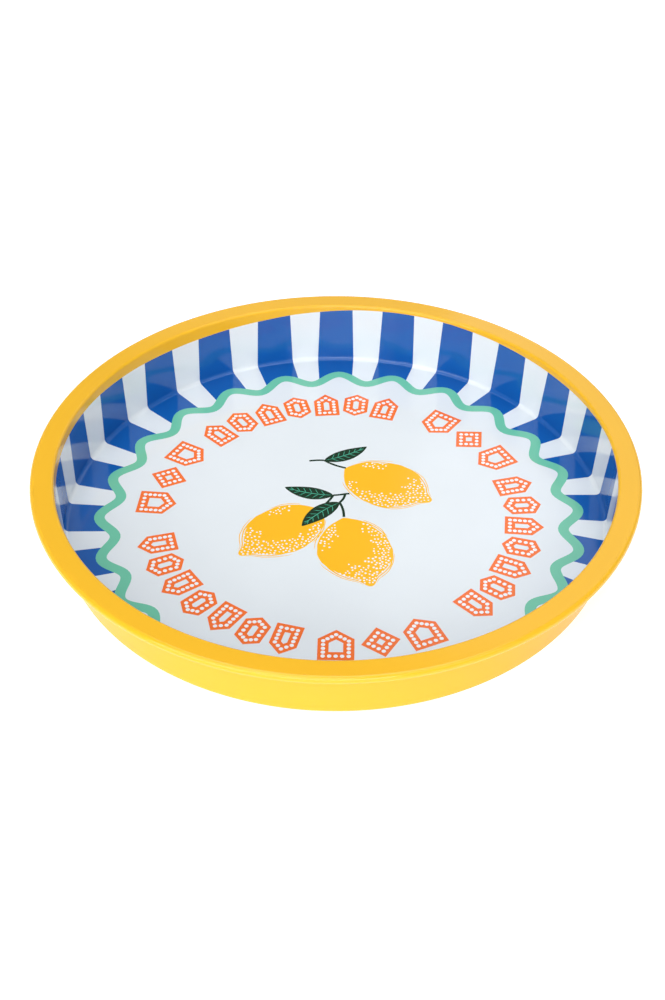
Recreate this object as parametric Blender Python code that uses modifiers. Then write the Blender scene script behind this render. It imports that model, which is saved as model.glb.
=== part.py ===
"""Round serving tray: a pan pressed from one printed steel sheet, and a wire hoop in its rolled rim.

Metres, +Z up. The tray rests on the plane z = 0 and is centred on the Z axis.
"""
import math

import bpy

# Driving dimensions
TRAY_RADIUS = 0.190         # to the outside of the rolled rim
TRAY_HEIGHT = 0.045         # from the resting face to the flat top of the flange
SHEET = 0.0005              # thickness of the steel sheet
FLOOR_RADIUS = 0.1702       # flat part of the floor
WALL_LEAN = math.radians(2.7)   # outward lean of the wall from upright
CORNER_INSIDE = 0.003       # inside radius of the bend between floor and wall
TOP_INSIDE = 0.0013         # inside radius of the bend between wall and flange
CURL_RADIUS = 0.0027        # outside radius of the rolled rim
CURL_TURN = math.radians(313)   # how far the sheet's edge is rolled round
WIRE_RADIUS = 0.00175       # steel wire inside the rolled rim
WIRE_END_GAP = 0.0012       # between the two ends of the wire hoop

# How finely the round shapes are cut up
TURN_STEPS = 96             # round the Z axis
CORNER_STEPS = 4
TOP_STEPS = 3
CURL_STEPS = 14

# Sizes worked out from the ones above
CURL_INSIDE = CURL_RADIUS - SHEET
CURL_CENTRE = (TRAY_RADIUS - CURL_RADIUS, TRAY_HEIGHT - CURL_RADIUS)
CORNER_CENTRE = (FLOOR_RADIUS, SHEET + CORNER_INSIDE)


def top_bend_centre():
    """Centre of the bend between wall and flange, where the leaning wall reaches it."""
    across = CORNER_INSIDE + SHEET + TOP_INSIDE
    z = TRAY_HEIGHT - SHEET - TOP_INSIDE
    along = (z - CORNER_CENTRE[1] + across * math.sin(WALL_LEAN)) / math.cos(WALL_LEAN)
    x = CORNER_CENTRE[0] + across * math.cos(WALL_LEAN) + along * math.sin(WALL_LEAN)
    return (x, z)


def arc(centre, radius, start, end, steps):
    """Points on an arc in the (x, z) plane, both ends included."""
    angles = [start + (end - start) * i / steps for i in range(steps + 1)]
    return [(centre[0] + radius * math.cos(a), centre[1] + radius * math.sin(a)) for a in angles]


def pan_profile():
    """The sheet's section: out along the upper side, round the curled edge, back underneath."""
    upright = math.pi / 2
    top_centre = top_bend_centre()
    corner = (-upright, -WALL_LEAN)
    top = (math.pi - WALL_LEAN, upright)
    curl = (upright, upright - CURL_TURN)
    upper = [(0.0, SHEET)]
    upper += arc(CORNER_CENTRE, CORNER_INSIDE, *corner, CORNER_STEPS)
    upper += arc(top_centre, TOP_INSIDE + SHEET, *top, TOP_STEPS)
    upper += arc(CURL_CENTRE, CURL_RADIUS, *curl, CURL_STEPS)
    lower = [(0.0, 0.0)]
    lower += arc(CORNER_CENTRE, CORNER_INSIDE + SHEET, *corner, CORNER_STEPS)
    lower += arc(top_centre, TOP_INSIDE, *top, TOP_STEPS)
    lower += arc(CURL_CENTRE, CURL_INSIDE, *curl, CURL_STEPS)
    return upper + lower[::-1]


def clear_objects():
    for obj in list(bpy.data.objects):
        bpy.data.objects.remove(obj, do_unlink=True)


def make_material(name, colour, roughness, metallic):
    material = bpy.data.materials.new(name)
    material.use_nodes = True
    shader = material.node_tree.nodes["Principled BSDF"]
    shader.inputs["Base Color"].default_value = (*colour, 1.0)
    shader.inputs["Roughness"].default_value = roughness
    shader.inputs["Metallic"].default_value = metallic
    return material


def make_tray_pan(collection):
    """Floor, wall, flange and rolled rim, turned from the sheet's section."""
    profile = pan_profile()
    mesh = bpy.data.meshes.new("tray_pan")
    edges = [(i, i + 1) for i in range(len(profile) - 1)]
    mesh.from_pydata([(x, 0.0, z) for x, z in profile], edges, [])
    pan = bpy.data.objects.new("tray_pan", mesh)
    collection.objects.link(pan)
    turn = pan.modifiers.new("turn", 'SCREW')
    turn.axis = 'Z'
    turn.angle = 2.0 * math.pi
    turn.steps = TURN_STEPS
    turn.render_steps = TURN_STEPS
    turn.use_merge_vertices = True
    turn.merge_threshold = 0.00001
    turn.use_smooth_shade = True
    mesh.materials.append(make_material("yellow_lacquer", (0.93, 0.53, 0.045), 0.25, 0.0))
    return pan


def make_rim_wire(collection):
    """Round wire bent into a hoop, its two cut ends a little apart at the back of the tray."""
    hoop_radius, height = CURL_CENTRE
    half_gap = 0.5 * WIRE_END_GAP / hoop_radius
    start = math.pi / 2 + half_gap
    sweep = 2.0 * (math.pi - half_gap)
    curve = bpy.data.curves.new("rim_wire", 'CURVE')
    curve.dimensions = '3D'
    curve.bevel_depth = WIRE_RADIUS
    curve.bevel_resolution = 2
    curve.use_fill_caps = True
    spline = curve.splines.new('POLY')
    spline.points.add(TURN_STEPS)
    for i, point in enumerate(spline.points):
        angle = start + sweep * i / TURN_STEPS
        point.co = (hoop_radius * math.cos(angle), hoop_radius * math.sin(angle), 0.0, 1.0)
    wire = bpy.data.objects.new("rim_wire", curve)
    wire.location = (0.0, 0.0, height)
    collection.objects.link(wire)
    curve.materials.append(make_material("bare_wire", (0.42, 0.43, 0.45), 0.4, 1.0))
    return wire


def main():
    clear_objects()
    collection = bpy.data.collections.new("serving_tray")
    bpy.context.scene.collection.children.link(collection)
    make_tray_pan(collection)
    make_rim_wire(collection)


main()
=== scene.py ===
"""Looks of a round serving tray: printed lacquer artwork on a pressed steel pan, in a pale studio.

Metres, +Z up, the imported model's own frame. The artwork is laid out in millimetres, with places
given by a compass bearing: clockwise, seen from above, from the tray's back (+Y).
"""

import math
import random

import bmesh
import bpy
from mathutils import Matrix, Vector
from mathutils.geometry import delaunay_2d_cdt


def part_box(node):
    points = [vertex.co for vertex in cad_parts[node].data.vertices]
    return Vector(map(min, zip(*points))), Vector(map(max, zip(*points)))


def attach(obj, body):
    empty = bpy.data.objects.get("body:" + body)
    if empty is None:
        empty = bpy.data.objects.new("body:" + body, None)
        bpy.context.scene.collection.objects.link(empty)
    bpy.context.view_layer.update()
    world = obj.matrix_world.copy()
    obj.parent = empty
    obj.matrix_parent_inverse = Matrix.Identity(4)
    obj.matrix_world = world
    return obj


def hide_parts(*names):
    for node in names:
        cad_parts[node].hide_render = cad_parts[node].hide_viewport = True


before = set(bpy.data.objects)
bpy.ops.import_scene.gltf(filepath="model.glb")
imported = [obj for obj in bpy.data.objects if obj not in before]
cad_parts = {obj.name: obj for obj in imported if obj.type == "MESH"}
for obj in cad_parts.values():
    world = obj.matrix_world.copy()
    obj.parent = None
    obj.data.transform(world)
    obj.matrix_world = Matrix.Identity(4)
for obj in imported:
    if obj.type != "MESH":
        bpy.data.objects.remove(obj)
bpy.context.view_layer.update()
PAN_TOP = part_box("tray_pan")[1]

MM = 0.001
TURN = 2.0 * math.pi
CUT_TOLERANCE = 0.0005      # millimetres; points of the artwork nearer than this are made one

# The pan's section, in millimetres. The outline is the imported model's, with finer round stretches.
RADIUS = PAN_TOP.x / MM
HEIGHT = PAN_TOP.z / MM
SHEET = 0.5
FLOOR_RADIUS = 170.2
WALL_LEAN = math.radians(2.7)
CORNER_INSIDE = 3.0
TOP_INSIDE = 1.3
CURL_RADIUS = 2.7
CURL_TURN = math.radians(313.0)
CORNER_STEPS = 8
TOP_STEPS = 6
CURL_STEPS = 30
WALL_ROWS = 3

# The print sits a little off the pressing's axis, and its yellow edge is deeper at the left.
PRINT_CENTRE = (2.3, -1.4)
EDGE_DEPTH = 5.4            # mean depth of the print's yellow edge below the flange
EDGE_SHIFT = 3.2            # how much deeper it is at the left and shallower at the right
EDGE_EARS = (-1.3, -1.5)    # four ears that rolled sheet is drawn into: shares of cos 4b and sin 4b
EDGE_LEAST = 1.75

# Stripes, and the wavy line they end on. Pressing drags the print round a little: a swing gives the
# shares of cos b, sin b, cos 2b and sin 2b in the turn, in radians, of what was at bearing b.
STRIPES = 24
STRIPE_FOOT = 163.5         # distance along the sheet from the middle, near the wall's foot
STRIPE_RUN = 44.5           # and from there up the wall, to near its top
FIRST_WHITE = 0.106         # bearing of the middle of the first white stripe
WHITE_ANGLE = 0.105         # of a white stripe at the foot
WHITE_GAIN = 0.019          # and how much wider it is at the top
STRIPE_SWING = (0.0046, -0.0085, 0.0065, -0.0133)
STRIPE_TWIST = (0.022, -0.0165, 0.003)   # turn of the top past the foot: a constant, cos b and sin b
STRIPE_STEPS = 6
WAVE_RADIUS = 149.2
WAVE_HEIGHT = 5.35          # of a crest above the mean
WAVE_WIDTH = 6.8
WAVE_CREST = -0.0159        # bearing of a crest
WAVE_SWING = (0.0113, -0.0042, 0.0066, -0.0023)
WAVE_OVAL = (0.57, 0.58)    # millimetres out of round, as shares of cos 2b and sin 2b
WAVE_STEPS = 18

# Ring of dotted shapes, three times round. Its start, the shapes' widths and the gaps are in
# degrees. A shape's corners run anticlockwise, in half widths and half heights.
RING_RADIUS = 118.5
RING_HEIGHT = 25.0
RING_START = -89.7
RING_REPEATS = 3
SHAPE_GAP = 1.8
GROUP_GAP = 5.3
RING_GROUPS = (
    (("shield", 10.5), ("diamond", 11.5), ("shield", 10.5)),
    (("tag", 8.2), ("hexagon", 8.2)) * 3 + (("tag", 8.2),),
)
SHAPES = {
    "diamond": ((1.0, 0.0), (0.0, 1.0), (-1.0, 0.0), (0.0, -1.0)),
    "hexagon": ((1.0, -0.6), (1.0, 0.6), (0.0, 1.0), (-1.0, 0.6), (-1.0, -0.6), (0.0, -1.0)),
    "shield": ((1.0, -0.4), (1.0, 1.0), (-1.0, 1.0), (-1.0, -0.4), (0.0, -1.0)),
    "tag": ((1.0, -1.0), (1.0, 0.4), (0.0, 1.0), (-1.0, 0.4), (-1.0, -1.0)),
}
STROKE = 6.6                # width of the stroke that draws each shape
DOT_PITCH = 3.4
DOT_RADIUS = 1.3
DOT_SIDES = 14

# Points along the stems, on the floor
TOP_TWIG_END = (-17.6, 53.6)
TOP_LEAF_BASE = (-7.6, 54.2)
TOP_STEM_FOOT = (6.8, 46.0)
FORK = (6.1, 18.9)
FORK_STUB = (9.0, 19.2)
LEFT_LEAF_BASE = (-1.6, 17.6)
LEFT_STEM_FOOT = (-10.2, 4.6)
LOW_LEAF_BASE = (2.5, 10.2)
LOW_STEM_FOOT = (5.2, -4.4)
STEM_WIDTH = 1.7
STEMS = (                   # start, stop and how far it bows to the left
    (TOP_TWIG_END, TOP_LEAF_BASE, 0.4),
    (TOP_LEAF_BASE, TOP_STEM_FOOT, -0.9),
    (FORK, LEFT_LEAF_BASE, 0.3),
    (FORK_STUB, FORK, 0.0),
    (LEFT_LEAF_BASE, LEFT_STEM_FOOT, 0.8),
    (FORK, LOW_LEAF_BASE, 0.8),
    (LOW_LEAF_BASE, LOW_STEM_FOOT, 0.8),
)

# Leaves: base, tip, width and bow to the left
LEAVES = (
    (TOP_LEAF_BASE, (21.3, 69.2), 11.2, -1.6),
    (LEFT_LEAF_BASE, (-33.5, 26.0), 12.0, 1.8),
    (LOW_LEAF_BASE, (-21.7, -13.4), 12.6, -1.6),
)
LEAF_STEPS = 24
LEAF_LEAN = 0.85            # below 1, a leaf is widest nearer to its base
LEAF_FULLNESS = 0.8         # below 1, its sides are fuller than an arc's
RIB_WIDTH = 0.55
VEIN_WIDTH = 0.42
VEIN_START = 4              # steps from the leaf's base to its first vein
VEIN_STEP = 3
VEIN_REACH = 0.8            # of the way to the leaf's edge

# Lemons: stem end, tip, width, wobble of the outline, and the stippled patches. A patch is the
# bearing it lies towards, its depth in from the edge as a share of the radius, and its spread;
# bearing and spread are in degrees.
LEMONS = (
    ((4.6, 46.6), (60.4, 12.4), 45.0, 0.4,
     ((160.0, 0.6, 66.0), (263.0, 0.36, 14.0), (344.0, 0.34, 20.0))),
    ((-8.0, 4.4), (-58.9, -39.6), 43.0, 2.2,
     ((182.0, 0.62, 72.0), (84.0, 0.34, 14.0), (348.0, 0.36, 20.0))),
    ((4.4, -3.4), (21.3, -67.6), 47.0, 1.1,
     ((118.0, 0.6, 66.0), (303.0, 0.42, 26.0), (32.0, 0.4, 16.0))),
)
LEMON_POINTS = 120
NIPPLE_LENGTH = 0.08        # of the lemon's length
NIPPLE_SPREAD = 0.24        # radians round the outline
SHOULDER_DEPTH = 0.02
SHOULDER_SPREAD = 0.22
LEMON_BLUNTNESS = 0.14      # 0 draws a plain ellipse
LEMON_FULLNESS = 0.05       # how much one end is fuller than the middle
LEMON_LUMPS = (             # size, number round the outline, and shift in wobbles
    (0.018, 5.0, 3.0),
    (0.008, 11.0, 5.0),
    (0.005, 23.0, 7.0),
)

# Loose pen lines round a lemon: distance out, change of wobble, and the shares of the way round
# the outline between which it runs
OUTER_LINES = (
    (1.1, 0.5, 0.03, 0.20),
    (0.9, -0.4, 0.28, 0.42),
    (1.2, 0.3, 0.60, 0.72),
    (1.0, -0.5, 0.78, 0.97),
)
INNER_LINES = ((-1.2, 0.0, 0.04, 0.15), (-1.1, 0.0, 0.30, 0.37), (-1.2, 0.0, 0.84, 0.96))
OUTER_LINE_WIDTH = 0.6
INNER_LINE_WIDTH = 0.75
STROKE_TIP = 0.15           # width of a tapered stroke's ends, as a share of its middle

# Stipple: dots tried, how fast they thicken towards the edge, and how they keep apart
STIPPLE_SEED = 7
STIPPLE_TRIES = 9000
STIPPLE_DENSITY = 2.1
STIPPLE_RADII = (0.5, 0.78)
STIPPLE_GAP = 0.55
STIPPLE_EDGE = 0.94         # no dots past this share of the radius
STIPPLE_SIDES = 8


# --- Colour and materials -----------------------------------------------------------------------

def linear(red, green, blue):
    """A display colour, 0 to 255, as linear light."""
    def channel(value):
        value /= 255.0
        return value / 12.92 if value <= 0.04045 else ((value + 0.055) / 1.055) ** 2.4
    return (channel(red), channel(green), channel(blue), 1.0)


INKS = {
    "yellow_enamel": (237, 181, 32),
    "white_ink": (226, 233, 238),
    "blue_ink": (17, 90, 170),
    "green_ink": (110, 196, 166),
    "orange_ink": (244, 114, 44),
    "lemon_ink": (250, 187, 22),
    "leaf_ink": (0, 46, 22),
    "vein_ink": (74, 178, 148),
    "dot_ink": (243, 247, 250),
}

# Varnished ink and bare steel: scales are in patches per metre, sizes in metres
MOTTLE_SCALE = 14.0
MOTTLE_DEPTH = 0.045        # how far the ink's shade strays either way
GRAIN_SCALE = 1600.0
GRAIN_MOST = 0.16
GRAIN_SHADE = 0.8
GLOSS_SCALE = 45.0
VARNISH_ROUGHNESS = (0.07, 0.14)
VARNISH_IOR = 1.5
PEEL_SCALE = 190.0
PEEL_STRENGTH = 0.05
PEEL_DEPTH = 0.0002
TARNISH_SCALE = 120.0
POLISH_SCALE = 500.0
DULL_STEEL = (0.32, 0.33, 0.35, 1.0)
BRIGHT_STEEL = (0.52, 0.53, 0.55, 1.0)
STEEL_ROUGHNESS = (0.28, 0.5)


class Nodes:
    """A material's node tree, with short ways to add and join nodes."""

    def __init__(self, material):
        material.use_nodes = True
        self.tree = material.node_tree
        self.shader = self.tree.nodes["Principled BSDF"]

    def add(self, kind, **values):
        node = self.tree.nodes.new(kind)
        for name, value in values.items():
            setattr(node, name, value)
        return node

    def link(self, source, target):
        self.tree.links.new(source, target)

    def noise(self, scale, detail):
        """A 0 to 1 noise in the object's own space, its scale in patches per metre."""
        place = self.add("ShaderNodeTexCoord")
        noise = self.add("ShaderNodeTexNoise")
        noise.inputs["Scale"].default_value = scale
        noise.inputs["Detail"].default_value = detail
        self.link(place.outputs["Object"], noise.inputs["Vector"])
        return noise.outputs["Fac"]

    def ramp(self, value, low, high):
        """A 0 to 1 value stretched to low..high."""
        node = self.add("ShaderNodeMapRange")
        node.inputs["To Min"].default_value = low
        node.inputs["To Max"].default_value = high
        self.link(value, node.inputs["Value"])
        return node.outputs["Result"]

    def mix(self, factor, first, second):
        """First to second as the factor goes from 0 to 1; each is a socket or a colour."""
        node = self.add("ShaderNodeMix", data_type='RGBA')
        self.link(factor, node.inputs[0])
        for socket, colour in ((node.inputs[6], first), (node.inputs[7], second)):
            if isinstance(colour, bpy.types.NodeSocket):
                self.link(colour, socket)
            else:
                socket.default_value = colour
        return node.outputs[2]


def shade(colour, factor):
    """A linear colour made darker or lighter."""
    return tuple(min(1.0, c * factor) for c in colour[:3]) + (1.0,)


def lacquer(name, display_colour):
    """Ink on tinplate under clear varnish: faint print mottle and grain, and a soft orange peel."""
    material = bpy.data.materials.new(name)
    nodes = Nodes(material)
    colour = linear(*display_colour)
    thin_ink = shade(colour, 1.0 - MOTTLE_DEPTH)
    thick_ink = shade(colour, 1.0 + MOTTLE_DEPTH)
    mottled = nodes.mix(nodes.noise(MOTTLE_SCALE, 3.0), thin_ink, thick_ink)
    grain = nodes.ramp(nodes.noise(GRAIN_SCALE, 2.0), 0.0, GRAIN_MOST)
    inked = nodes.mix(grain, mottled, shade(colour, GRAIN_SHADE))
    nodes.link(inked, nodes.shader.inputs["Base Color"])
    gloss = nodes.ramp(nodes.noise(GLOSS_SCALE, 4.0), *VARNISH_ROUGHNESS)
    nodes.link(gloss, nodes.shader.inputs["Roughness"])
    nodes.shader.inputs["IOR"].default_value = VARNISH_IOR
    bump = nodes.add("ShaderNodeBump")
    bump.inputs["Strength"].default_value = PEEL_STRENGTH
    bump.inputs["Distance"].default_value = PEEL_DEPTH
    nodes.link(nodes.noise(PEEL_SCALE, 2.0), bump.inputs["Height"])
    nodes.link(bump.outputs["Normal"], nodes.shader.inputs["Normal"])
    return material


def wire_steel():
    """Bare drawn steel wire, with dull and bright patches."""
    material = bpy.data.materials.new("drawn_steel_wire")
    nodes = Nodes(material)
    tone = nodes.mix(nodes.noise(TARNISH_SCALE, 5.0), DULL_STEEL, BRIGHT_STEEL)
    nodes.link(tone, nodes.shader.inputs["Base Color"])
    polish = nodes.ramp(nodes.noise(POLISH_SCALE, 3.0), *STEEL_ROUGHNESS)
    nodes.link(polish, nodes.shader.inputs["Roughness"])
    nodes.shader.inputs["Metallic"].default_value = 1.0
    return material


# --- Flat shapes --------------------------------------------------------------------------------

def polar(radius, bearing, centre=(0.0, 0.0)):
    """The point at a distance and a bearing from a centre."""
    return (centre[0] + radius * math.sin(bearing), centre[1] + radius * math.cos(bearing))


def signed_area(points):
    """Area of an outline, positive if it runs anticlockwise."""
    return 0.5 * sum(p[0] * q[1] - q[0] * p[1] for p, q in zip(points, points[1:] + points[:1]))


def placed(points, centre, angle):
    """Points turned anticlockwise by an angle, then moved to a centre."""
    c, s = math.cos(angle), math.sin(angle)
    return [(centre[0] + x * c - y * s, centre[1] + x * s + y * c) for x, y in points]


def disc(centre, radius, sides=DOT_SIDES):
    """A round dot's outline."""
    return [polar(radius, TURN * i / sides, centre) for i in range(sides)]


def unit(vector):
    """A flat vector made one long."""
    length = math.hypot(*vector)
    return (vector[0] / length, vector[1] / length)


def inset(points, distance):
    """An outline moved to the left of the way it runs, with sharp corners: inwards if anticlockwise."""
    result = []
    count = len(points)
    for i, here in enumerate(points):
        before, after = points[i - 1], points[(i + 1) % count]
        come = unit((here[0] - before[0], here[1] - before[1]))
        leave = unit((after[0] - here[0], after[1] - here[1]))
        first, second = (-come[1], come[0]), (-leave[1], leave[0])
        scale = distance / (1.0 + first[0] * second[0] + first[1] * second[1])
        result.append((here[0] + (first[0] + second[0]) * scale,
                       here[1] + (first[1] + second[1]) * scale))
    return result


def along(points, pitch):
    """Points at even steps of about pitch along each side of a closed outline, corners included."""
    result = []
    for here, after in zip(points, points[1:] + points[:1]):
        steps = max(1, round(math.dist(here, after) / pitch))
        for i in range(steps):
            t = i / steps
            result.append((here[0] + (after[0] - here[0]) * t, here[1] + (after[1] - here[1]) * t))
    return result


def ribbon(path, width, taper=True):
    """A thin brush stroke along a path, narrower at both ends if tapered."""
    left, right = [], []
    last = len(path) - 1
    for i, here in enumerate(path):
        before, after = path[max(0, i - 1)], path[min(last, i + 1)]
        direction = unit((after[0] - before[0], after[1] - before[1]))
        half = 0.5 * width
        if taper:
            swell = math.sqrt(abs(math.sin(math.pi * i / last)))
            half *= STROKE_TIP + (1.0 - STROKE_TIP) * swell
        left.append((here[0] - direction[1] * half, here[1] + direction[0] * half))
        right.append((here[0] + direction[1] * half, here[1] - direction[0] * half))
    return left + right[::-1]


class Artwork:
    """Flat printed shapes in millimetres, each laid over the ones before it."""

    def __init__(self):
        self.shapes = []

    def add(self, ink, points):
        if signed_area(points) < 0.0:
            points = points[::-1]
        self.shapes.append((ink, points))


# --- Stripes and wave ---------------------------------------------------------------------------

def swing(bearing, shares):
    """How far round the pressing dragged what was at a bearing."""
    return sum(share * turn for share, turn in zip(shares, (
        math.cos(bearing), math.sin(bearing), math.cos(2.0 * bearing), math.sin(2.0 * bearing))))


def ring_bearing(bearing, reach):
    """Bearing, from the tray's axis, of what lies at reach from it and at a bearing of the print."""
    dx, dy = PRINT_CENTRE
    forward = dx * math.sin(bearing) + dy * math.cos(bearing)
    distance = math.sqrt(forward ** 2 - dx ** 2 - dy ** 2 + reach ** 2) - forward
    x, y = polar(distance, bearing, PRINT_CENTRE)
    return math.atan2(x, y)


def stripe_edges(reach):
    """Bearings from the print's centre of the stripes' edges, each with the ink that follows it."""
    share = (reach - STRIPE_FOOT) / STRIPE_RUN
    turn, turn_cos, turn_sin = STRIPE_TWIST
    edges = []
    for k in range(STRIPES):
        middle = FIRST_WHITE + TURN * k / STRIPES
        for side, ink in ((-0.5, "white_ink"), (0.5, "blue_ink")):
            bearing = middle + side * (WHITE_ANGLE + WHITE_GAIN * share)
            twist = turn + turn_cos * math.cos(bearing) + turn_sin * math.sin(bearing)
            edges.append((bearing + swing(bearing, STRIPE_SWING) + share * twist, ink))
    return edges


def meridians(reach):
    """Bearings of the pan's meridians, so that every stripe edge is on one, each with its ink."""
    edges = stripe_edges(reach)
    result = []
    for i, (bearing, ink) in enumerate(edges):
        start = ring_bearing(bearing, reach)
        stop = ring_bearing(edges[(i + 1) % len(edges)][0], reach)
        sweep = (stop - start) % TURN
        result += [(start + sweep * k / STRIPE_STEPS, ink) for k in range(STRIPE_STEPS)]
    return result


def wave_outline(offset):
    """The wavy line's centre, moved out by an offset."""
    path = []
    count = STRIPES * WAVE_STEPS
    for i in range(count):
        bearing = TURN * i / count
        phase = STRIPES * (bearing - swing(bearing, WAVE_SWING) - WAVE_CREST)
        oval = WAVE_OVAL[0] * math.cos(2.0 * bearing) + WAVE_OVAL[1] * math.sin(2.0 * bearing)
        path.append(polar(WAVE_RADIUS + oval + WAVE_HEIGHT * math.cos(phase), bearing, PRINT_CENTRE))
    return inset(path, offset)


def draw_stripes(art, lines):
    """Floor disc, blue stripes and the wavy line that they end on."""
    rim = [polar(FLOOR_RADIUS, bearing) for bearing, _ in lines]
    art.add("white_ink", rim)
    inner = WAVE_RADIUS - WAVE_HEIGHT
    feet = [(polar(inner, bearing, PRINT_CENTRE), ink) for bearing, ink in stripe_edges(inner)]
    for i, (foot, ink) in enumerate(feet):
        if ink == "blue_ink":
            first = i * STRIPE_STEPS
            arc = [rim[(first + k) % len(rim)] for k in range(STRIPE_STEPS + 1)]
            art.add("blue_ink", arc + [feet[(i + 1) % len(feet)][0], foot])
    art.add("green_ink", wave_outline(0.5 * WAVE_WIDTH))
    art.add("white_ink", wave_outline(-0.5 * WAVE_WIDTH))


# --- Ring of dotted shapes ----------------------------------------------------------------------

def shape_outline(kind, width, height):
    """Outer corners of one shape, anticlockwise, upright and centred."""
    return [(0.5 * width * x, 0.5 * height * y) for x, y in SHAPES[kind]]


def same_way_round(outline, moved):
    """True if every side of a moved outline still runs the way it did."""
    sides = zip(outline, outline[1:] + outline[:1], moved, moved[1:] + moved[:1])
    return all((b[0] - a[0]) * (d[0] - c[0]) + (b[1] - a[1]) * (d[1] - c[1]) > 0.0
               for a, b, c, d in sides)


def draw_dotted_outline(art, outline, centre, angle):
    """A stroke that follows the outline, with a row of round white dots along its middle."""
    middle = inset(outline, 0.5 * STROKE)
    hollow = inset(outline, STROKE)
    art.add("orange_ink", placed(outline, centre, angle))
    if same_way_round(outline, hollow):
        art.add("white_ink", placed(hollow, centre, angle))
    for point in placed(along(middle, DOT_PITCH), centre, angle):
        art.add("dot_ink", disc(point, DOT_RADIUS))


def draw_ring(art):
    """Groups of dotted shapes round the floor, standing with their feet to the centre."""
    for repeat in range(RING_REPEATS):
        degrees = RING_START + 360.0 * repeat / RING_REPEATS
        for group in RING_GROUPS:
            for kind, span in group:
                bearing = math.radians(degrees + 0.5 * span)
                centre = polar(RING_RADIUS, bearing, PRINT_CENTRE)
                width = math.radians(span) * RING_RADIUS
                draw_dotted_outline(art, shape_outline(kind, width, RING_HEIGHT), centre, -bearing)
                degrees += span + SHAPE_GAP
            degrees += GROUP_GAP - SHAPE_GAP


# --- Lemons and leaves --------------------------------------------------------------------------

def lemon_outline(length, width, wobble, grow):
    """A lemon along +X: a lumpy round body, a shoulder at the stem and a nipple at the far end."""
    nipple, neck = NIPPLE_LENGTH * length, SHOULDER_DEPTH * length
    half_length = 0.5 * (length - nipple - neck) + grow
    half_width = 0.5 * width + grow
    points = []
    for i in range(LEMON_POINTS):
        t = TURN * i / LEMON_POINTS
        away = math.pi - abs(t - math.pi)
        x = half_length * math.cos(t) + nipple * math.exp(-(away / NIPPLE_SPREAD) ** 3)
        x -= neck * math.exp(-((math.pi - away) / SHOULDER_SPREAD) ** 2)
        plump = 1.0 + LEMON_FULLNESS * math.cos(t + wobble)
        for size, count, shift in LEMON_LUMPS:
            plump += size * math.sin(count * t + shift * wobble)
        points.append((x, half_width * math.sin(t) * plump * abs(math.sin(t)) ** LEMON_BLUNTNESS))
    return points


def edge_share(outline, centre, bearing, distance):
    """How far out from a centre something is, as a share of the way to the outline."""
    def turn(point):
        away = math.atan2(point[0] - centre[0], point[1] - centre[1]) - bearing
        return abs((away + math.pi) % TURN - math.pi)
    return distance / math.dist(min(outline, key=turn), centre)


def draw_stipple(art, outline, centre, patches, rng):
    """White dots over a lemon, in patches that thicken towards its edge."""
    reach = max(math.dist(p, centre) for p in outline)
    kept = []
    for _ in range(STIPPLE_TRIES):
        x = rng.uniform(-reach, reach)
        y = rng.uniform(-reach, reach)
        bearing = math.atan2(x, y)
        share = edge_share(outline, centre, bearing, math.hypot(x, y))
        chance = 0.0
        for middle, depth, spread in patches:
            across = (bearing - math.radians(middle) + math.pi) % TURN - math.pi
            fade = math.exp(-(math.degrees(across) / spread) ** 4)
            chance = max(chance, STIPPLE_DENSITY * (share - 1.0 + depth) * fade)
        place = (centre[0] + x, centre[1] + y)
        radius = rng.uniform(*STIPPLE_RADII)
        if share > STIPPLE_EDGE or rng.random() > chance:
            continue
        if all(math.dist(place, p) > radius + r + STIPPLE_GAP for p, r in kept):
            kept.append((place, radius))
    for place, radius in kept:
        art.add("dot_ink", disc(place, radius, STIPPLE_SIDES))


def arc_of(outline, start, stop):
    """A stretch of a closed outline, from one share of the way round to another."""
    count = len(outline)
    first, last = round(start * count), round(stop * count)
    return [outline[i % count] for i in range(first, last + 1)]


def draw_lemon(art, stem, tip, width, wobble, patches, rng):
    """A lemon from its stem end to its tip, with loose pen lines and a stippled shade."""
    length = math.dist(stem, tip)
    centre = (0.5 * (stem[0] + tip[0]), 0.5 * (stem[1] + tip[1]))
    angle = math.atan2(tip[1] - stem[1], tip[0] - stem[0])

    def outline(grow, extra):
        return placed(lemon_outline(length, width, wobble + extra, grow), centre, angle)

    def pen_lines(ink, lines, line_width):
        for grow, extra, start, stop in lines:
            art.add(ink, ribbon(arc_of(outline(grow, extra), start, stop), line_width))

    body = outline(0.0, 0.0)
    pen_lines("lemon_ink", OUTER_LINES, OUTER_LINE_WIDTH)
    art.add("lemon_ink", body)
    pen_lines("white_ink", INNER_LINES, INNER_LINE_WIDTH)
    draw_stipple(art, body, centre, patches, rng)


def bow(start, stop, sag, steps=12):
    """Points on a shallow curve between two points, bowed to its left by sag."""
    dx, dy = stop[0] - start[0], stop[1] - start[1]
    length = math.hypot(dx, dy)
    points = []
    for i in range(steps + 1):
        t = i / steps
        lift = 4.0 * sag * t * (1.0 - t)
        points.append((start[0] + dx * t - dy / length * lift, start[1] + dy * t + dx / length * lift))
    return points


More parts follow.
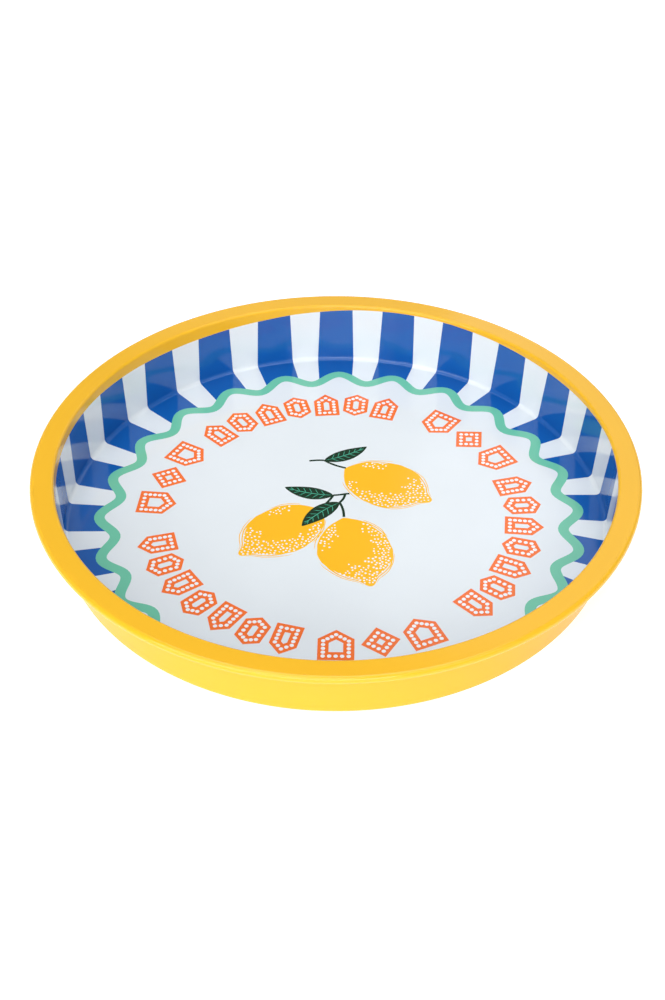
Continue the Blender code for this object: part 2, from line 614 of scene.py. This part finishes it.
def draw_leaf(art, base, tip, width, sag):
    """A pointed leaf with a midrib and side veins."""
    spine = bow(base, tip, sag, LEAF_STEPS)
    left, right = [], []
    for i, here in enumerate(spine):
        t = i / LEAF_STEPS
        before, after = spine[max(0, i - 1)], spine[min(LEAF_STEPS, i + 1)]
        direction = unit((after[0] - before[0], after[1] - before[1]))
        half = 0.5 * width * math.sin(math.pi * t ** LEAF_LEAN) ** LEAF_FULLNESS
        left.append((here[0] - direction[1] * half, here[1] + direction[0] * half))
        right.append((here[0] + direction[1] * half, here[1] - direction[0] * half))
    art.add("leaf_ink", left + right[-2:0:-1])
    art.add("vein_ink", ribbon(spine[1:-2], RIB_WIDTH))
    for i in range(VEIN_START, LEAF_STEPS - VEIN_START + 1, VEIN_STEP):
        for side in (left, right):
            edge = side[i + VEIN_STEP]
            end = (spine[i][0] + (edge[0] - spine[i][0]) * VEIN_REACH,
                   spine[i][1] + (edge[1] - spine[i][1]) * VEIN_REACH)
            art.add("vein_ink", ribbon(bow(spine[i], end, 0.0, 4), VEIN_WIDTH))


def draw_fruit(art):
    """Three lemons on leafy stems in the middle of the floor."""
    rng = random.Random(STIPPLE_SEED)
    for stem, tip, width, wobble, patches in LEMONS:
        draw_lemon(art, stem, tip, width, wobble, patches, rng)
    for start, stop, sag in STEMS:
        art.add("leaf_ink", ribbon(bow(start, stop, sag), STEM_WIDTH, taper=False))
    for base, tip, width, sag in LEAVES:
        draw_leaf(art, base, tip, width, sag)


# --- Pan mesh -----------------------------------------------------------------------------------

def bend(centre, radius, start, stop, steps, side):
    """Section points on a bend, each with the metal's outward normal; side -1 faces the centre."""
    points = []
    for i in range(steps + 1):
        a = start + (stop - start) * i / steps
        c, s = math.cos(a), math.sin(a)
        points.append((centre[0] + radius * c, centre[1] + radius * s, side * c, side * s))
    return points


def straight(start, stop, steps):
    """Section points between two others, ends left out, with the first one's normal."""
    return [(start[0] + (stop[0] - start[0]) * i / steps, start[1] + (stop[1] - start[1]) * i / steps,
             start[2], start[3]) for i in range(1, steps)]


def section(depth):
    """Points round the sheet's section, floor edge to floor edge, and how many of them are printed.

    The print's yellow edge is at this depth below the flange.
    """
    upright = 0.5 * math.pi
    across = CORNER_INSIDE + SHEET + TOP_INSIDE
    corner_centre = (FLOOR_RADIUS, SHEET + CORNER_INSIDE)
    top_z = HEIGHT - SHEET - TOP_INSIDE
    rise = (top_z - corner_centre[1] + across * math.sin(WALL_LEAN)) / math.cos(WALL_LEAN)
    top_x = corner_centre[0] + across * math.cos(WALL_LEAN) + rise * math.sin(WALL_LEAN)
    curl_centre = (RADIUS - CURL_RADIUS, HEIGHT - CURL_RADIUS)
    corner, top = (-upright, -WALL_LEAN), (math.pi - WALL_LEAN, upright)
    curl = (upright, upright - CURL_TURN)
    foot = bend(corner_centre, CORNER_INSIDE, *corner, CORNER_STEPS, -1)
    brow = bend((top_x, top_z), TOP_INSIDE + SHEET, *top, TOP_STEPS, 1)
    share = 1.0 - (depth - (HEIGHT - brow[0][1])) / (brow[0][1] - foot[-1][1])
    edge = tuple(a + (b - a) * share for a, b in zip(foot[-1], brow[0]))
    printed = foot + straight(foot[-1], edge, WALL_ROWS) + [edge]
    roll = bend(curl_centre, CURL_RADIUS, *curl, CURL_STEPS, 1)
    roll_inside = bend(curl_centre, CURL_RADIUS - SHEET, *curl, CURL_STEPS, -1)[::-1]
    brow_under = bend((top_x, top_z), TOP_INSIDE, *top, TOP_STEPS, -1)[::-1]
    foot_under = bend(corner_centre, CORNER_INSIDE + SHEET, *corner, CORNER_STEPS, 1)[::-1]
    rest = brow + roll + roll_inside + brow_under + foot_under
    return printed + rest, len(printed)


def edge_depth(bearing):
    """Depth of the print's yellow edge below the flange."""
    ears = EDGE_EARS[0] * math.cos(4.0 * bearing) + EDGE_EARS[1] * math.sin(4.0 * bearing)
    return max(EDGE_LEAST, EDGE_DEPTH - EDGE_SHIFT * math.sin(bearing) + ears)


def leaning_meridians(lines):
    """For each meridian, its bearing at the floor's edge and what that gains per millimetre up."""
    wall_top = FLOOR_RADIUS + HEIGHT
    return [(low, ((high - low + math.pi) % TURN - math.pi) / HEIGHT)
            for (low, _), (high, _) in zip(lines, meridians(wall_top))]


def cut_artwork(art):
    """The artwork's points, its faces that don't overlap, each with its ink, and the floor's rim."""
    points = []
    outlines = []
    for _, outline in art.shapes:
        outlines.append(list(range(len(points), len(points) + len(outline))))
        points += [Vector(p) for p in outline]
    cut = delaunay_2d_cdt(points, [], outlines, 1, CUT_TOLERANCE)
    cut_points, _, faces, point_sources, _, face_sources = cut
    inks = [art.shapes[max(sources)][0] for sources in face_sources]
    cut_point = {s: i for i, sources in enumerate(point_sources) for s in sources}
    return cut_points, zip(faces, inks), [cut_point[s] for s in outlines[0]]


class PanMesh:
    """A mesh being made: vertices in millimetres, each with its exact normal, and faces with inks."""

    def __init__(self):
        self.bm = bmesh.new()
        self.normals = []
        self.ink_index = {ink: i for i, ink in enumerate(INKS)}

    def vertex(self, x, y, z, normal):
        self.normals.append(normal)
        return self.bm.verts.new((x * MM, y * MM, z * MM))

    def face(self, corners, ink):
        self.bm.faces.new(corners).material_index = self.ink_index[ink]

    def make_object(self, name):
        bmesh.ops.recalc_face_normals(self.bm, faces=self.bm.faces[:])
        mesh = bpy.data.meshes.new(name)
        self.bm.to_mesh(mesh)
        self.bm.free()
        for polygon in mesh.polygons:
            polygon.use_smooth = True
        mesh.normals_split_custom_set_from_vertices(self.normals)
        for ink, colour in INKS.items():
            mesh.materials.append(lacquer(ink, colour))
        obj = bpy.data.objects.new(name, mesh)
        bpy.context.scene.collection.objects.link(obj)
        return obj


def add_floor(pan, art):
    """The printed floor. Returns its rim's vertices, one on each meridian."""
    points, faces, rim = cut_artwork(art)
    floor = [pan.vertex(p.x, p.y, SHEET, (0.0, 0.0, 1.0)) for p in points]
    for corners, ink in faces:
        pan.face([floor[i] for i in corners], ink)
    return [floor[i] for i in reversed(rim)]


def add_strip(pan, rim_vertex, bearing, gain):
    """Vertices along one meridian, from the floor's rim round the sheet's section to the base."""
    rows, printed = section(edge_depth(bearing))
    strip = [rim_vertex]
    for k in range(1, len(rows)):
        x, z, normal_x, normal_z = rows[k]
        if k < printed:
            bearing += gain * math.dist(rows[k][:2], rows[k - 1][:2])
        out_x, out_y = math.sin(bearing), math.cos(bearing)
        normal = (normal_x * out_x, normal_x * out_y, normal_z)
        strip.append(pan.vertex(x * out_x, x * out_y, z, normal))
    return strip, printed


def build_pan():
    """One closed mesh: artwork cut into the floor, then wall, flange, rolled rim and underside."""
    lines = meridians(FLOOR_RADIUS)
    art = Artwork()
    draw_stripes(art, lines)
    draw_ring(art)
    draw_fruit(art)
    pan = PanMesh()
    strips = []
    for rim_vertex, (bearing, gain) in zip(add_floor(pan, art), leaning_meridians(lines)):
        strip, printed = add_strip(pan, rim_vertex, bearing, gain)
        strips.append(strip)
    neighbours = list(zip(strips, strips[1:] + strips[:1]))
    for (here, after), (_, ink) in zip(neighbours, lines):
        for k in range(len(here) - 1):
            corners = (here[k], here[k + 1], after[k + 1], after[k])
            pan.face(corners, ink if k < printed - 1 else "yellow_enamel")
    centre = pan.vertex(0.0, 0.0, 0.0, (0.0, 0.0, -1.0))
    for here, after in neighbours:
        pan.face((here[-1], after[-1], centre), "yellow_enamel")
    return pan.make_object("printed_tray_pan")


# --- Studio -------------------------------------------------------------------------------------

FLOOR_SIZE = 60.0
FLOOR_DROP = 0.0003         # the tray stands just clear of the floor
FLOOR_GREY = 0.65
FLOOR_ROUGHNESS = 0.7
FLOOR_GLOW = 0.69
BACKDROP_RADIUS = 25.0
BACKDROP_HEIGHT = 16.0
BACKDROP_DROP = 0.1         # its foot is this far below the floor
BACKDROP_SIDES = 96
BACKDROP_GLOW = 0.95
WORLD_LIGHT = 0.355
SOFTBOXES = (               # name, place, size in metres, power in watts
    ("key_softbox", (-0.35, -1.65, 2.2), (1.3, 0.9), 10.8),
    ("left_key_softbox", (-1.35, -1.35, 2.0), (1.5, 1.3), 8.6),
    ("right_key_softbox", (1.35, -1.35, 2.0), (1.5, 1.3), 7.0),
    ("front_softbox", (-0.1, -2.2, 0.85), (1.8, 1.0), 22.5),
    ("front_left_softbox", (-1.5, -1.6, 0.75), (1.3, 0.8), 13.0),
    ("top_softbox", (0.0, 0.3, 2.6), (2.0, 2.0), 25.0),
    ("corner_softbox", (0.98, 1.83, 1.57), (1.7, 1.2), 4.6),
    ("back_softbox", (0.1, 2.3, 1.1), (2.0, 0.7), 2.0),
)
CAMERA_PLACE = (-0.0021, -0.7723, 0.6538)
CAMERA_DOWN = 39.77         # degrees below level
CAMERA_LENS = 56.57         # millimetres, as the sensor's width is
CAMERA_SENSOR = 36.0


def studio_surface(obj, grey, roughness, glow):
    """A plain material on a floor or backdrop, which glows so that it renders pale."""
    material = bpy.data.materials.new(obj.name)
    nodes = Nodes(material)
    nodes.shader.inputs["Base Color"].default_value = (grey, grey, grey, 1.0)
    nodes.shader.inputs["Roughness"].default_value = roughness
    nodes.shader.inputs["Emission Color"].default_value = (1.0, 1.0, 1.0, 1.0)
    nodes.shader.inputs["Emission Strength"].default_value = glow
    obj.data.materials.append(material)


def build_floor():
    """A wide pale floor under the tray."""
    bpy.ops.mesh.primitive_plane_add(size=FLOOR_SIZE, location=(0.0, 0.0, -FLOOR_DROP))
    floor = bpy.context.object
    floor.name = "studio_floor"
    studio_surface(floor, FLOOR_GREY, FLOOR_ROUGHNESS, FLOOR_GLOW)


def build_backdrop():
    """A pale round wall far off, above the horizon. It is only looked at: it lights nothing."""
    middle = 0.5 * BACKDROP_HEIGHT - BACKDROP_DROP
    bpy.ops.mesh.primitive_cylinder_add(vertices=BACKDROP_SIDES, radius=BACKDROP_RADIUS,
                                        depth=BACKDROP_HEIGHT, end_fill_type='NOTHING',
                                        location=(0.0, 0.0, middle))
    backdrop = bpy.context.object
    backdrop.name = "studio_backdrop"
    backdrop.visible_diffuse = False
    backdrop.visible_glossy = False
    backdrop.visible_transmission = False
    backdrop.visible_shadow = False
    studio_surface(backdrop, 0.0, 1.0, BACKDROP_GLOW)


def add_softbox(name, place, size, power):
    """A rectangular area light aimed at the tray."""
    light = bpy.data.lights.new(name, 'AREA')
    light.shape = 'RECTANGLE'
    light.size, light.size_y = size
    light.energy = power
    lamp = bpy.data.objects.new(name, light)
    lamp.location = place
    lamp.rotation_euler = (-Vector(place)).to_track_quat('-Z', 'Y').to_euler()
    bpy.context.scene.collection.objects.link(lamp)


def build_lights():
    """An even white world and the softboxes."""
    world = bpy.data.worlds.new("studio_white")
    world.use_nodes = True
    background = world.node_tree.nodes["Background"]
    background.inputs["Color"].default_value = (1.0, 1.0, 1.0, 1.0)
    background.inputs["Strength"].default_value = WORLD_LIGHT
    bpy.context.scene.world = world
    for name, place, size, power in SOFTBOXES:
        add_softbox(name, place, size, power)


def build_camera():
    """The view over the tray's front edge that the product is shown in."""
    data = bpy.data.cameras.new("camera")
    data.sensor_width = CAMERA_SENSOR
    data.lens = CAMERA_LENS
    camera = bpy.data.objects.new("camera", data)
    camera.location = CAMERA_PLACE
    camera.rotation_euler = (math.radians(90.0 - CAMERA_DOWN), 0.0, 0.0)
    bpy.context.scene.collection.objects.link(camera)
    bpy.context.scene.camera = camera


def main():
    """The camera, the printed pan, the wire's steel and the studio."""
    build_camera()
    pan = build_pan()
    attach(pan, "root")
    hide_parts("tray_pan")
    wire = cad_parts["rim_wire"]
    wire.data.materials.clear()
    wire.data.materials.append(wire_steel())
    build_floor()
    build_backdrop()
    build_lights()
    bpy.context.scene.view_settings.view_transform = 'Standard'


main()
